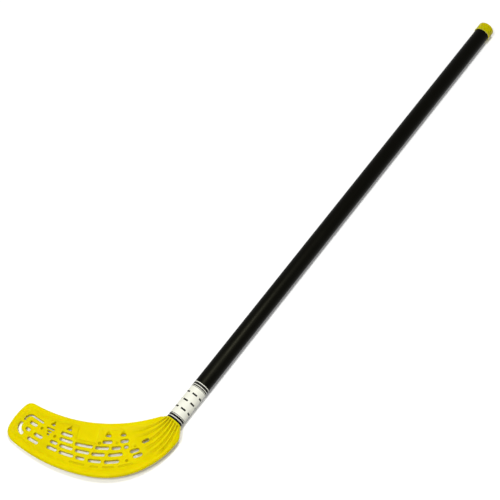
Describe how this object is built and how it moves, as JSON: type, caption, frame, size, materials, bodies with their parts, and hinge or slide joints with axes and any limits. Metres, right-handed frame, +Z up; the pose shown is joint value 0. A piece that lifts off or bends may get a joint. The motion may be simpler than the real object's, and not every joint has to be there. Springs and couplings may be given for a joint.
{
  "type": "floorball stick",
  "caption": "Floorball stick lying flat: straight round tube shaft with a push-on butt cap, a film label at the neck, and a curved, slotted, reversible blade with a fluted heel.",
  "frame": {"origin": "centre of the bounding box at the floor that the stick lies on", "axes": "+Y along the shaft towards the butt cap, -X towards the blade's toe, +Z up from the floor"},
  "size_m": [0.2066, 0.976, 0.0265],
  "materials": {
    "blade_plastic": "satin moulded yellow",
    "tube_plastic": "satin black",
    "label_film": "smooth white film with black edge stripes",
    "cap_plastic": "satin moulded yellow",
    "screw_steel": "zinc plated"
  },
  "bodies": {
    "stick": {"blade": "blade_plastic", "shaft_tube": "tube_plastic", "neck_label": "label_film", "blade_screws": "screw_steel"},
    "cap": {"end_cap": "cap_plastic"}
  },
  "joints": [
    {"name": "cap_pull", "type": "slide", "parent": "stick", "child": "cap", "axis": [0, 1, 0], "range_m": [0, 0.02]}
  ]
}
